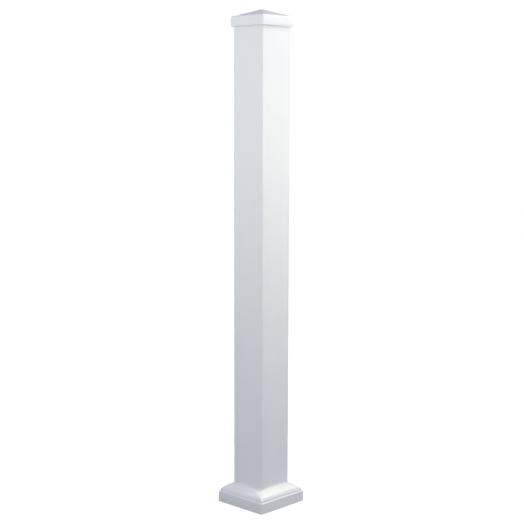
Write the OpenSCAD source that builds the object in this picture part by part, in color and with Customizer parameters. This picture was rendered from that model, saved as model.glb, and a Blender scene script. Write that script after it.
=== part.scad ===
// Square newel post of white PVC: a hollow post sleeve, a low pyramid cap
// slipped over its top, and a moulded skirt round its foot.
// Millimetres, +Z up along the post, origin on the floor at the post's centre.

/* [Post sleeve] */
// Outside width of the square sleeve
sleeve_w = 101.6; // [88:0.1:130]
// Wall thickness of the sleeve
sleeve_wall = 3.8; // [2.5:0.1:6]
// Radius of the sleeve's outside corners
sleeve_r = 3; // [1:0.1:6]
// Height of the whole post, from the floor to the cap's point
post_h = 1275; // [600:1:2400]

/* [Cap] */
// How far the cap's fascia stands out from the sleeve
cap_out = 5.35; // [4:0.05:12]
// Height of the cap's fascia, with its rounded shoulder
cap_fascia = 26.6; // [18:0.1:60]
// Rise of the cap's pyramid above the fascia
cap_rise = 17.2; // [10:0.1:40]
// Radius of the rounded shoulder between fascia and pyramid
cap_shoulder = 4; // [1:0.1:5]
// Radius of the cap's vertical corners
cap_r = 2; // [0.5:0.1:4]
// Wall thickness of the cap
cap_wall = 2.8; // [2:0.1:3.5]

/* [Base skirt] */
// How far the skirt's fascia stands out from the sleeve
skirt_out = 28.5; // [22:0.1:45]
// Height of the skirt's fascia
skirt_fascia = 28.0; // [15:0.1:45]
// Width of the flat ledge on top of the fascia
skirt_ledge = 3.05; // [2:0.05:8]
// Height of the upright foot of the moulding above the ledge
skirt_riser = 4.1; // [2:0.1:8]
// Height of the moulding's curve where it meets the middle of a sleeve face
skirt_top = 54.5; // [46:0.1:75]
// How upright the lower part of the moulding's curve is
skirt_lift = 12; // [8:0.1:18]
// How far the lower part leans in
skirt_lean = 3.2; // [0:0.1:6]
// How steeply the curve falls from the sleeve
skirt_fall = 8.5; // [3:0.1:12]
// Width of that steep part
skirt_fall_w = 10.8; // [4:0.1:14]
// How fast the moulding's corners round off in plan as it rises
skirt_round = 1.55; // [0.2:0.05:2.2]
// Height of the small cove that turns the moulding up against the sleeve
cove_rise = 3.2; // [0:0.1:6]
// Width of the cove
cove_w = 2.4; // [2:0.1:8]
// Width of the cove's flat rim
cove_rim = 0.6; // [0.4:0.1:2]
// Wall thickness of the skirt
skirt_wall = 2.8; // [2:0.1:4]
// Gap between the skirt's collar and the sleeve
skirt_gap = 0.3; // [0.2:0.05:0.8]

/* [Hidden] */
$fn = 64;

half = sleeve_w / 2;

// Cap heights and widths
cap_half = half + cap_out;
cap_top = post_h - cap_rise;          // where the pyramid starts
cap_z0 = cap_top - cap_fascia;        // lower edge of the fascia
pyr_half = cap_half - cap_shoulder - 0.8;
roof = cap_wall + 0.4;                // depth of the seat below the pyramid's foot
seat_z = cap_top - roof;              // the sleeve's rim carries the cap here
seat_half = half - 1.8;               // half width of the hollow above the seat
pyr_slope = cap_rise / pyr_half;

// Skirt half widths
sk_half = half + skirt_out;
sk_foot = sk_half - skirt_ledge;      // the moulding's foot, on the ledge
sk_hole = half + skirt_gap;           // the collar's hole
sk_hole_r = sleeve_r + skirt_gap;
sk_edge = 0.8;                        // rounding of the fascia's edges

// ---- 2D helpers ----

// A square with true round corners
module rounded_square(w, r) {
    square([w - 2 * r, w], center = true);
    square([w, w - 2 * r], center = true);
    for (x = [-1, 1], y = [-1, 1])
        translate([x * (w / 2 - r), y * (w / 2 - r)]) circle(r);
}

// A square form whose outline seen from any side is the same 2D profile,
// so its corners are mitred
module mitred(w) {
    intersection() {
        rotate([90, 0, 0]) linear_extrude(w, center = true) children();
        rotate([90, 0, 90]) linear_extrude(w, center = true) children();
    }
}

// ---- Post sleeve: a plain extruded square tube ----

module post_sleeve() {
    color([0.93, 0.94, 0.95])
    linear_extrude(seat_z)
        difference() {
            rounded_square(sleeve_w, sleeve_r);
            rounded_square(sleeve_w - 2 * sleeve_wall, 1);
        }
}

// ---- Cap: fascia, rounded shoulder and low pyramid over a hollow ----

module cap_outline() {
    translate([-cap_half, cap_z0]) square([2 * cap_half, cap_fascia - cap_shoulder]);
    translate([-(cap_half - cap_shoulder), cap_z0])
        square([2 * (cap_half - cap_shoulder), cap_fascia]);
    for (x = [-1, 1])
        translate([x * (cap_half - cap_shoulder), cap_top - cap_shoulder]) circle(cap_shoulder);
    polygon([[-pyr_half, cap_top - 1], [pyr_half, cap_top - 1],
             [pyr_half, cap_top], [0, post_h], [-pyr_half, cap_top]]);
}

// The hollow above the seat follows the pyramid
module cap_hollow_outline() {
    polygon([[-seat_half, seat_z - 1], [seat_half, seat_z - 1], [seat_half, seat_z],
             [0, seat_z + pyr_slope * seat_half], [-seat_half, seat_z]]);
}

module cap() {
    inner = cap_half - cap_wall;      // half width inside the fascia
    pad = half - sleeve_r + 0.05;     // the corner pads start here
    color([0.95, 0.95, 0.96])
    union() {
        difference() {
            intersection() {
                mitred(2 * cap_half) cap_outline();
                translate([0, 0, cap_z0 - 1]) linear_extrude(post_h) rounded_square(2 * cap_half, cap_r);
            }
            translate([0, 0, cap_z0 - 5]) linear_extrude(seat_z - cap_z0 + 5)
                rounded_square(2 * inner, 1);
            mitred(2 * cap_half) cap_hollow_outline();
        }
        // a pad in each inside corner keeps the cap centred on the sleeve
        for (a = [0 : 90 : 270]) rotate([0, 0, a])
            translate([0, 0, cap_z0 + 3])
                linear_extrude(seat_z - cap_z0 - 2)
                    difference() {
                        translate([pad, pad]) square(inner - pad + 0.6);
                        translate([half - sleeve_r, half - sleeve_r]) circle(sleeve_r + 0.3);
                    }
    }
}

// ---- Base skirt: one moulded shell ----

// Cubic curve through four control points
function bez(p, t) = pow(1 - t, 3) * p[0] + 3 * pow(1 - t, 2) * t * p[1]
                   + 3 * (1 - t) * t * t * p[2] + pow(t, 3) * p[3];

// The moulding's profile at the middle of a side: [half width, height],
// from its foot on the ledge to the sleeve
ovolo = [[sk_foot, skirt_fascia + skirt_riser],
         [sk_foot - skirt_lean, skirt_fascia + skirt_riser + skirt_lift],
         [half + skirt_fall_w, skirt_top - skirt_fall],
         [half, skirt_top]];
OV_N = 14;
ov_pts = [for (i = [0 : OV_N]) bez(ovolo, i / OV_N)];

// The same profile moved inwards by the wall, for the hollow underneath
function unit(v) = v / norm(v);
function ov_dir(i) = unit(ov_pts[min(i + 1, OV_N)] - ov_pts[max(i - 1, 0)]);
ov_in = [for (i = [0 : OV_N]) ov_pts[i] - skirt_wall * [ov_dir(i)[1], -ov_dir(i)[0]]];

// Height of each profile above a half width; lookup wants rising keys
ov_table = [for (i = [OV_N : -1 : 0]) ov_pts[i]];
in_table = [for (i = [OV_N : -1 : 0]) ov_in[i]];

// The moulding's level lines are squares whose corners are rounded more and
// more as they rise. level() is the half width of the line through a point.
function corner_r(h, foot) = min(h, 1 + skirt_round * (foot - h));
function level(a, b, foot, lo = 0, hi = 200, n = 26) =
    n == 0 ? (lo + hi) / 2
    : let (h = (lo + hi) / 2, rc = corner_r(h, foot), c = h - rc,
           out = (a <= c || b <= c) ? max(a, b) > h : norm([a - c, b - c]) > rc)
      out ? level(a, b, foot, h, hi, n - 1) : level(a, b, foot, lo, h, n - 1);

// One closed outline: a square of half width h with corner radius r. Every
// outline has the same number of points, closer together towards the corners.
SIDE_N = 8;
ARC_N = 6;
function side_t(i) = 0.5 - 0.5 * cos(180 * i / SIDE_N);
function quarter(h, r) = concat(
    [for (i = [0 : ARC_N]) [h - r + r * cos(90 * i / ARC_N), h - r + r * sin(90 * i / ARC_N)]],
    [for (i = [1 : SIDE_N - 1]) [(h - r) * (1 - 2 * side_t(i)), h]]);
function turn(p, k) = k == 0 ? p : turn([-p[1], p[0]], k - 1);
function outline(h, r) = [for (k = [0 : 3], p = quarter(h, r)) turn(p, k)];
function flat_ring(h, r, z) = [for (p = outline(h, r)) [p[0], p[1], z]];

// A ring between the moulding's foot and the collar's hole, on the curved top
function dome_ring(s, foot, table, up = 0) =
    let (a = outline(foot, 1), b = outline(sk_hole, sk_hole_r))
    [for (i = [0 : len(a) - 1])
        let (p = a[i] * (1 - s) + b[i] * s,
             h = level(abs(p[0]), abs(p[1]), foot))
        [p[0], p[1], lookup(h, table) + up]];

// The cove: how much higher the surface is at a distance d from the hole
function cove(d) = cove_rise * pow(max(0, 1 - max(0, d - cove_rim) / cove_w), 2);

// Where the outside rings lie, as a share of the way from the foot to the hole:
// by the curve's own points, then closer together over the cove
sk_span = sk_foot - sk_hole;
curve_s = [for (i = [1 : OV_N]) (sk_foot - ov_pts[i][0]) / sk_span];
cove_s = [for (t = [1, 0.75, 0.55, 0.38, 0.22, 0.1, 0]) 1 - (cove_rim + t * cove_w) / sk_span];
out_s = concat([for (s = curve_s) if (s > 0.005 && s < cove_s[0] - 0.02) s], cove_s, [1]);

in_foot = ov_in[0][0];
in_half = sk_half - skirt_wall;
in_ledge = skirt_fascia - skirt_wall;

rings = concat(
    // outside, from the floor up to the collar
    [flat_ring(sk_half - sk_edge, sk_edge, 0),
     flat_ring(sk_half, sk_edge + 0.4, sk_edge),
     flat_ring(sk_half, sk_edge + 0.4, skirt_fascia - sk_edge),
     flat_ring(sk_half - sk_edge, sk_edge, skirt_fascia),
     flat_ring(sk_foot, 1, skirt_fascia),
     flat_ring(sk_foot, 1, skirt_fascia + skirt_riser)],
    [for (s = out_s) dome_ring(s, sk_foot, ov_table, cove((1 - s) * sk_span))],
    // inside, from the collar down to the floor
    [for (i = [OV_N - 1 : -1 : 0])
        dome_ring(min(1, (in_foot - ov_in[i][0]) / (in_foot - sk_hole)), in_foot, in_table)],
    [flat_ring(in_foot, 1, in_ledge),
     flat_ring(in_half, 0.6, in_ledge),
     flat_ring(in_half, 0.6, 0)]);

module base_skirt() {
    n = len(rings);
    m = len(rings[0]);
    color([0.92, 0.93, 0.94])
    polyhedron(
        points = [for (r = rings, p = r) p],
        faces = [for (i = [0 : n - 1], j = [0 : m - 1])
                    let (i2 = (i + 1) % n, j2 = (j + 1) % m,
                         a = i * m + j, b = i * m + j2, c = i2 * m + j2, d = i2 * m + j)
                    each [[a, c, b], [a, d, c]]]);
}

post_sleeve();
cap();
base_skirt();
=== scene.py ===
"""Looks for the newel post: refined meshes, vinyl materials, floor, light and camera."""
import math

import bpy
from mathutils import Matrix, Vector


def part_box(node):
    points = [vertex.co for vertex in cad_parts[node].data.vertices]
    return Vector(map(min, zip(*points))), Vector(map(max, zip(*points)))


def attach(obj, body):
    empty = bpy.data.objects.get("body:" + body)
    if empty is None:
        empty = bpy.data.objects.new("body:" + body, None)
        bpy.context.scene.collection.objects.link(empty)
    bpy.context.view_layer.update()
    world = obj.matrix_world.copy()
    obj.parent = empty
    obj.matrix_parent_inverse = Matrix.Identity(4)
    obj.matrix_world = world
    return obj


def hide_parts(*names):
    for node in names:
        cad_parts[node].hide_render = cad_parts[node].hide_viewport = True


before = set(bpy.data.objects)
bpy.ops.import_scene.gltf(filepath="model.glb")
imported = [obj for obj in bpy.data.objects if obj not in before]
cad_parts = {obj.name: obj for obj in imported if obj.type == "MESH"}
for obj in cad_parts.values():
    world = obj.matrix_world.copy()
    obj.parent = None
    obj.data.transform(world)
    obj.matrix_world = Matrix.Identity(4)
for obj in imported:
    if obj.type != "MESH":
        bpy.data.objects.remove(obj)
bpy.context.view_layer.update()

# ---------------------------------------------------------------- camera
# Fitted viewing position, in metres and degrees.
CAM_AZ, CAM_PITCH, CAM_ROLL, CAM_YAW = 43.693, 6.958, 0.156, -0.023
CAM_D, CAM_Z, CAM_LENS = 2.9726, 0.9986, 79.876


def make_camera():
    az = math.radians(CAM_AZ)
    fa, pitch, roll = math.radians(CAM_AZ + CAM_YAW), math.radians(CAM_PITCH), math.radians(CAM_ROLL)
    fwd = Vector((math.cos(fa) * math.cos(pitch), math.sin(fa) * math.cos(pitch), -math.sin(pitch)))
    right = fwd.cross(Vector((0, 0, 1))).normalized()
    up = right.cross(fwd)
    r = right * math.cos(roll) + up * math.sin(roll)
    u = up * math.cos(roll) - right * math.sin(roll)
    m = Matrix((r, u, -fwd)).transposed().to_4x4()
    m.translation = Vector((-math.cos(az) * CAM_D, -math.sin(az) * CAM_D, CAM_Z))
    cam = bpy.data.cameras.new("camera")
    cam.lens, cam.sensor_width, cam.sensor_fit = CAM_LENS, 36.0, "HORIZONTAL"
    cam.clip_start, cam.clip_end = 0.05, 100
    obj = bpy.data.objects.new("camera", cam)
    bpy.context.scene.collection.objects.link(obj)
    obj.matrix_world = m
    bpy.context.scene.camera = obj


make_camera()

# ---------------------------------------------------------------- mesh helpers
MM = 0.001


def outline(h, r, side=16, arc=8):
    """Closed square outline of half width h and corner radius r, points closer together towards the corners."""
    pts = []
    for k in range(4):
        q = [(h - r + r * math.cos(math.pi / 2 * i / arc), h - r + r * math.sin(math.pi / 2 * i / arc)) for i in range(arc + 1)]
        for i in range(1, side):
            t = 0.5 - 0.5 * math.cos(math.pi * i / side)
            q.append(((h - r) * (1 - 2 * t), h))
        for x, y in q:
            for _ in range(k):
                x, y = -y, x
            pts.append((x, y))
    return pts


def ring(h, r, z, **kw):
    return [(x, y, z) for x, y in outline(h, r, **kw)]


def mesh_piece(name, verts, faces, smooth_angle=28):
    me = bpy.data.meshes.new(name)
    me.from_pydata([Vector(v) * MM for v in verts], [], faces)
    me.update()
    me.validate()
    obj = bpy.data.objects.new(name, me)
    bpy.context.scene.collection.objects.link(obj)
    me.shade_smooth()
    sharp = math.radians(smooth_angle)
    import bmesh

    bm = bmesh.new()
    bm.from_mesh(me)
    bmesh.ops.recalc_face_normals(bm, faces=bm.faces)
    for e in bm.edges:
        if len(e.link_faces) == 2:
            e.smooth = e.calc_face_angle(0) < sharp
    bm.to_mesh(me)
    bm.free()
    return obj


def loft(name, rings, wrap=False, cap_end=None, **kw):
    """Quads between successive rings of equal length. wrap joins the last ring to the first; cap_end is not used."""
    n, m = len(rings), len(rings[0])
    verts = [p for r in rings for p in r]
    faces = []
    for i in range(n if wrap else n - 1):
        i2 = (i + 1) % n
        for j in range(m):
            j2 = (j + 1) % m
            faces.append((i * m + j, i * m + j2, i2 * m + j2, i2 * m + j))
    return mesh_piece(name, verts, faces, **kw)


def arc_pts(cx, cz, r, a0, a1, n):
    return [(cx + r * math.cos(math.radians(a0 + (a1 - a0) * i / n)), cz + r * math.sin(math.radians(a0 + (a1 - a0) * i / n))) for i in range(n + 1)]


def ride(obj, node):
    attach(obj, "root")
    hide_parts(node)


# ---------------------------------------------------------------- sizes, from the frame
lo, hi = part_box("post_sleeve")
SLEEVE_HALF, SLEEVE_TOP = hi[0] / MM, hi[2] / MM
SLEEVE_R, SLEEVE_WALL = 3.0, 3.8
clo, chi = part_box("cap")
CAP_HALF, CAP_Z0, POST_H = chi[0] / MM, clo[2] / MM, chi[2] / MM
slo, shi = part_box("base_skirt")
SK_HALF, SK_TOP = shi[0] / MM, shi[2] / MM


# ---------------------------------------------------------------- sleeve
def make_sleeve():
    h, r, w, top = SLEEVE_HALF, SLEEVE_R, SLEEVE_WALL, SLEEVE_TOP
    kw = dict(side=12, arc=8)
    c = 0.35
    rings = [ring(h - c, r - c, 0, **kw), ring(h, r, c, **kw)]
    n = 24
    for i in range(1, n):
        rings.append(ring(h, r, c + (top - 2 * c) * i / n, **kw))
    rings += [ring(h, r, top - c, **kw), ring(h - c, r - c, top, **kw),
              ring(h - w + c, 1.2, top, **kw), ring(h - w, 1, top - c, **kw)]
    for i in range(1, n):
        rings.append(ring(h - w, 1, top - c - (top - 2 * c) * i / n, **kw))
    rings += [ring(h - w, 1, c, **kw), ring(h - w + c, 1.2, 0, **kw)]
    return loft("post_sleeve_vinyl", rings, wrap=True)


# ---------------------------------------------------------------- cap
CAP_FASCIA, CAP_SHOULDER, CAP_R, CAP_WALL = 26.6, 4.0, 2.0, 2.8


def make_cap():
    kw = dict(side=16, arc=6)
    h, z0, R = CAP_HALF, CAP_Z0, CAP_R
    zt = z0 + CAP_FASCIA
    s = CAP_SHOULDER
    pyr = h - s - 0.8
    rise = POST_H - zt
    e = 0.9
    rings = []
    # outside: rounded lower lip, fascia, shoulder
    for x, z in arc_pts(h - e, z0 + e, e, -90, 0, 4):
        rings.append(ring(x, max(0.3, R - (h - x)), z, **kw))
    for t in (0.25, 0.5, 0.75):
        rings.append(ring(h, R, z0 + e + (CAP_FASCIA - s - e) * t, **kw))
    for x, z in arc_pts(h - s, zt - s, s, 0, 90, 10):
        rings.append(ring(x, R + 0.35 * (h - x), z, **kw))
    # pyramid, its hips slightly soft, up to a small blunt point
    rh = R + 0.35 * s
    k = rise / pyr
    for t in (0.0, 0.04, 0.15, 0.3, 0.45, 0.6, 0.75, 0.87, 0.95, 0.985):
        hh = pyr * (1 - t)
        rings.append(ring(hh, min(hh * 0.45, rh * (1 - t) + 0.2), zt + k * (pyr - hh) - (0.02 if t > 0.9 else 0), **kw))
    tip = [(0.15 * x / max(abs(x), abs(y), 1e-9), 0.15 * y / max(abs(x), abs(y), 1e-9), POST_H) for x, y in outline(1, 0.4, **kw)]
    rings.append(tip)
    n, m = len(rings), len(rings[0])
    verts = [p for r_ in rings for p in r_]
    faces = []
    for i in range(n - 1):
        for j in range(m):
            j2 = (j + 1) % m
            faces.append((i * m + j, i * m + j2, (i + 1) * m + j2, (i + 1) * m + j))
    faces.append(tuple((n - 1) * m + j for j in range(m)))
    # inside: from the lip up to the seat and the hollow above it
    hi_, seat, sh = h - CAP_WALL, SLEEVE_TOP, SLEEVE_HALF - 1.8
    inner = [ring(hi_ + e, 1.2, z0, **kw), ring(hi_, 1, z0 + e, **kw), ring(hi_, 1, seat - 0.8, **kw),
             ring(hi_ - 0.8, 1, seat, **kw), ring(sh, 1, seat, **kw)]
    for t in (0.3, 0.6, 0.85):
        hh = sh * (1 - t)
        inner.append(ring(hh, min(1, hh * 0.45), seat + k * (sh - hh), **kw))
    inner.append([(0.15 * x, 0.15 * y, seat + k * sh - 0.05) for x, y in outline(1, 0.4, **kw)])
    base = len(verts)
    verts += [p for r_ in inner for p in r_]
    for i in range(len(inner) - 1):
        for j in range(m):
            j2 = (j + 1) % m
            faces.append((base + i * m + j2, base + i * m + j, base + (i + 1) * m + j, base + (i + 1) * m + j2))
    faces.append(tuple(base + (len(inner) - 1) * m + j for j in reversed(range(m))))
    # the lip joins outside and inside
    for j in range(m):
        j2 = (j + 1) % m
        faces.append((j2, j, base + j, base + j2))
    return mesh_piece("cap_vinyl", verts, faces)


# ---------------------------------------------------------------- base skirt
SK = dict(fascia=28.0, ledge=3.05, riser=4.1, round=1.55, wall=2.8, gap=0.3, top=54.5, foot_lift=12.0, foot_in=3.2,
          head_out=10.8, head_drop=8.5, cove_rise=3.2, cove_w=2.4, cove_rim=0.6)


def bez(p, t):
    a, b, c, d = (1 - t) ** 3, 3 * (1 - t) ** 2 * t, 3 * (1 - t) * t * t, t ** 3
    return tuple(a * p[0][i] + b * p[1][i] + c * p[2][i] + d * p[3][i] for i in (0, 1))


def level(a, b, foot, rnd):
    lo_, hi_ = 0.0, 200.0
    for _ in range(26):
        h = (lo_ + hi_) / 2
        rc = min(h, 1 + rnd * (foot - h))
        c = h - rc
        out = max(a, b) > h if (a <= c or b <= c) else math.hypot(a - c, b - c) > rc
        if out:
            lo_ = h
        else:
            hi_ = h
    return (lo_ + hi_) / 2


def lookup(x, table):
    if x <= table[0][0]:
        return table[0][1]
    for (x0, y0), (x1, y1) in zip(table, table[1:]):
        if x <= x1:
            return y0 + (y1 - y0) * (x - x0) / (x1 - x0)
    return table[-1][1]


def make_skirt(p=SK, name="base_skirt_vinyl"):
    """One closed shell: fascia, ledge, riser and domed moulding with a small cove against the sleeve, hollow underneath."""
    kw = dict(side=26, arc=8)
    N = 40
    half, fascia, wall = SLEEVE_HALF, p["fascia"], p["wall"]
    foot = SK_HALF - p["ledge"]
    hole, hole_r = half + p["gap"], SLEEVE_R + p["gap"]
    z0 = fascia + p["riser"]
    P = [(foot, z0), (foot - p["foot_in"], z0 + p["foot_lift"]), (half + p["head_out"], p["top"] - p["head_drop"]), (half, p["top"])]
    ov = [bez(P, i / N) for i in range(N + 1)]
    ins = []
    for i in range(N + 1):
        a, b = ov[max(0, i - 1)], ov[min(N, i + 1)]
        dx, dz = b[0] - a[0], b[1] - a[1]
        d = math.hypot(dx, dz)
        ins.append((ov[i][0] - wall * dz / d, ov[i][1] + wall * dx / d))
    table, in_table = ov[::-1], ins[::-1]
    out_hole = outline(hole, hole_r, **kw)

    def dome(s, ft, tb, cove=0.0):
        d = (1 - s) * (ft - hole)
        up = cove * max(0.0, 1 - max(0.0, d - p["cove_rim"]) / p["cove_w"]) ** 2
        res = []
        for (ax, ay), (bx, by) in zip(outline(ft, 1, **kw), out_hole):
            x, y = ax + (bx - ax) * s, ay + (by - ay) * s
            res.append((x, y, lookup(level(abs(x), abs(y), ft, p["round"]), tb) + up))
        return res

    h, e = SK_HALF, 0.8
    rings = [ring(h - 0.4, 0.8, 0, **kw), ring(h, 1.2, 0.4, **kw)]
    for t in (0.3, 0.6, 0.9):
        rings.append(ring(h, 1.2, 0.4 + (fascia - e - 0.4) * t, **kw))
    for x, z in arc_pts(h - e, fascia - e, e, 0, 90, 5):
        rings.append(ring(x, 1.2 - (h - x) * 0.5, z, **kw))
    # small fillet where the ledge meets the riser
    f = 0.5
    for x, z in reversed(arc_pts(foot + f, fascia + f, f, 180, 270, 3)):
        rings.append(ring(x, 1, z, **kw))
    rings.append(ring(foot, 1, z0, **kw))
    ss = sorted({min(1.0, (foot - q[0]) / (foot - hole)) for q in ov[1:]}
                | {1 - (p["cove_rim"] + t * p["cove_w"]) / (foot - hole) for t in (0.0, 0.03, 0.08, 0.16, 0.26, 0.37, 0.5, 0.65, 0.82, 1.0)})
    for s in ss:
        if s > 1e-4:
            rings.append(dome(s, foot, table, p["cove_rise"]))
    in_foot = ins[0][0]
    done = False
    for i in range(N - 1, -1, -2):
        s = min(1.0, (in_foot - ins[i][0]) / (in_foot - hole))
        if s < 1 or not done:
            rings.append(dome(max(0.0, s), in_foot, in_table))
        done = done or s >= 1
    il = fascia - wall
    rings += [ring(in_foot, 1, il, **kw), ring(h - wall, 0.6, il, **kw), ring(h - wall, 0.6, 0.4, **kw),
              ring(h - wall + 0.4, 0.6, 0, **kw)]
    return loft(name, rings, wrap=True)


sleeve = make_sleeve()
cap = make_cap()
skirt = make_skirt()
ride(sleeve, "post_sleeve")
ride(cap, "cap")
ride(skirt, "base_skirt")


# ---------------------------------------------------------------- materials
def vinyl(name, base, rough, spread, streaks):
    m = bpy.data.materials.new(name)
    m.use_nodes = True
    nt = m.node_tree
    nt.nodes.clear()
    N, L = nt.nodes.new, nt.links.new
    out = N("ShaderNodeOutputMaterial")
    b = N("ShaderNodeBsdfPrincipled")
    L(b.outputs["BSDF"], out.inputs["Surface"])
    b.inputs["IOR"].default_value = 1.53
    tc = N("ShaderNodeTexCoord")
    # slow mottling of the colour
    n1 = N("ShaderNodeTexNoise")
    n1.inputs["Scale"].default_value = 9.0
    n1.inputs["Detail"].default_value = 4.0
    L(tc.outputs["Object"], n1.inputs["Vector"])
    mix = N("ShaderNodeMix")
    mix.data_type = "RGBA"
    mix.inputs["A"].default_value = (*[c * 0.975 for c in base], 1)
    mix.inputs["B"].default_value = (*base, 1)
    L(n1.outputs["Fac"], mix.inputs["Factor"])
    L(mix.outputs["Result"], b.inputs["Base Color"])
    # roughness: fine grain with broader smears
    mp = N("ShaderNodeMapping")
    mp.inputs["Scale"].default_value = (1, 1, 0.06 if streaks else 1)
    L(tc.outputs["Object"], mp.inputs["Vector"])
    n2 = N("ShaderNodeTexNoise")
    n2.inputs["Scale"].default_value = 220.0 if streaks else 60.0
    n2.inputs["Detail"].default_value = 6.0
    L(mp.outputs["Vector"], n2.inputs["Vector"])
    mr = N("ShaderNodeMapRange")
    mr.inputs["From Min"].default_value = 0.3
    mr.inputs["From Max"].default_value = 0.7
    mr.inputs["To Min"].default_value = rough - spread
    mr.inputs["To Max"].default_value = rough + spread
    L(n2.outputs["Fac"], mr.inputs["Value"])
    L(mr.outputs["Result"], b.inputs["Roughness"])
    # bump: faint die lines or moulded skin, and a fine orange peel
    n3 = N("ShaderNodeTexNoise")
    n3.inputs["Scale"].default_value = 900.0
    n3.inputs["Detail"].default_value = 2.0
    L(tc.outputs["Object"], n3.inputs["Vector"])
    add = N("ShaderNodeMath")
    add.operation = "MULTIPLY_ADD"
    L(n3.outputs["Fac"], add.inputs[0])
    add.inputs[1].default_value = 0.4
    L(n2.outputs["Fac"], add.inputs[2])
    bump = N("ShaderNodeBump")
    bump.inputs["Strength"].default_value = 0.25
    bump.inputs["Distance"].default_value = 0.00006
    L(add.outputs["Value"], bump.inputs["Height"])
    L(bump.outputs["Normal"], b.inputs["Normal"])
    return m


M_EXT = vinyl("vinyl_extruded", (0.86, 0.868, 0.885), 0.36, 0.05, True)
M_MLD = vinyl("vinyl_moulded", (0.86, 0.868, 0.885), 0.30, 0.012, False)
for o, m in ((sleeve, M_EXT), (cap, M_MLD), (skirt, M_MLD)):
    o.data.materials.clear()
    o.data.materials.append(m)


# ---------------------------------------------------------------- floor, world, lights
def grey(name, albedo, glow):
    m = bpy.data.materials.new(name)
    m.use_nodes = True
    b = m.node_tree.nodes["Principled BSDF"]
    b.inputs["Base Color"].default_value = (*albedo, 1)
    b.inputs["Roughness"].default_value = 0.9
    b.inputs["Specular IOR Level"].default_value = 0.1
    b.inputs["Emission Color"].default_value = (1, 1, 1, 1)
    b.inputs["Emission Strength"].default_value = glow
    return m


def stage_mesh(name, verts, faces, material, seen):
    """A floor or backdrop. One set is seen by the camera; the other only throws light back, like a real room's floor."""
    me = bpy.data.meshes.new(name)
    me.from_pydata([Vector(v) for v in verts], [], faces)
    me.materials.append(material)
    me.shade_smooth()
    obj = bpy.data.objects.new(name, me)
    bpy.context.scene.collection.objects.link(obj)
    obj.visible_camera = seen
    for k in ("visible_diffuse", "visible_glossy", "visible_transmission", "visible_shadow"):
        setattr(obj, k, not seen)
    return obj


def disc(radius, z, n=128):
    verts = [(0, 0, z)] + [(radius * math.cos(2 * math.pi * i / n), radius * math.sin(2 * math.pi * i / n), z) for i in range(n)]
    return verts, [(0, 1 + i, 1 + (i + 1) % n) for i in range(n)]


def dome(radius, n=96, rows=24):
    verts = [(radius * math.cos(e) * math.cos(a), radius * math.cos(e) * math.sin(a), radius * math.sin(e))
             for e in [math.pi / 2 * (k / rows) * 0.999 for k in range(rows + 1)] for a in [2 * math.pi * i / n for i in range(n)]]
    faces = [(k * n + i, k * n + (i + 1) % n, (k + 1) * n + (i + 1) % n, (k + 1) * n + i) for k in range(rows) for i in range(n)]
    faces.append(tuple(rows * n + i for i in range(n)))
    return verts, faces


FLOOR_BOUNCE = (0.35, 0.35, 0.35)
FLOOR_SEEN, FLOOR_GLOW = (0.7, 0.7, 0.7), 0.70
stage_mesh("floor", *disc(11.5, 0.0), grey("floor_pale", FLOOR_SEEN, FLOOR_GLOW), True)
stage_mesh("backdrop", *dome(11.5), grey("backdrop_pale", (0, 0, 0), 1.02), True)
stage_mesh("floor_bounce", *disc(11.0, -0.0005), grey("floor_bounce", FLOOR_BOUNCE, 0), False)

# the room's light: dimmer and cooler near the horizon, brighter overhead
WORLD_LOW, WORLD_HIGH = (0.215, 0.268, 0.540), (0.556, 0.542, 0.545)
world = bpy.data.worlds.new("studio")
bpy.context.scene.world = world
world.use_nodes = True
wn, wl = world.node_tree.nodes, world.node_tree.links
w_dir, w_sep, w_map, w_mix = (wn.new(t) for t in ("ShaderNodeTexCoord", "ShaderNodeSeparateXYZ", "ShaderNodeMapRange", "ShaderNodeMix"))
w_mix.data_type = "RGBA"
w_mix.inputs["A"].default_value = (*WORLD_LOW, 1)
w_mix.inputs["B"].default_value = (*WORLD_HIGH, 1)
w_map.inputs["From Min"].default_value, w_map.inputs["From Max"].default_value = 0.45, 0.70
wl.new(w_dir.outputs["Generated"], w_sep.inputs["Vector"])
wl.new(w_sep.outputs["Z"], w_map.inputs["Value"])
wl.new(w_map.outputs["Result"], w_mix.inputs["Factor"])
wl.new(w_mix.outputs["Result"], wn["Background"].inputs["Color"])
wn["Background"].inputs["Strength"].default_value = 1.0

LIGHTS = [
    # name, direction (degrees), distance, height (m), size (m), power (W), colour
    ("left_fill", 180, 1.3, 1.2, 0.65, 9.91, (1.000, 0.985, 0.786)),
    ("right_high", -30, 1.8, 2.2, 0.8, 21.28, (1.000, 0.976, 0.591)),
    ("right_low", -70, 0.9, 1, 0.5, 3.45, (1.000, 0.975, 0.784)),
    ("right_mid", -50, 1.8, 1.7, 0.8, 8.19, (0.927, 0.902, 1.000)),
    ("back_fill", 45, 1.8, 1.3, 0.8, 6.0, (1.000, 0.965, 0.780)),
]


def make_light(name, phi, dist, height, size, power, colour):
    d = bpy.data.lights.new(name, "AREA")
    d.shape, d.size, d.energy, d.color = "DISK", size, power, colour
    o = bpy.data.objects.new(name, d)
    bpy.context.scene.collection.objects.link(o)
    o.location = (dist * math.cos(math.radians(phi)), dist * math.sin(math.radians(phi)), height)
    o.rotation_mode = "QUATERNION"
    o.rotation_quaternion = (Vector((0, 0, min(height, 0.9))) - o.location).to_track_quat("-Z", "Y")
    o.visible_camera = False


for row in LIGHTS:
    make_light(*row)

bpy.context.scene.view_settings.view_transform = "Standard"
bpy.context.scene.view_settings.look = "None"
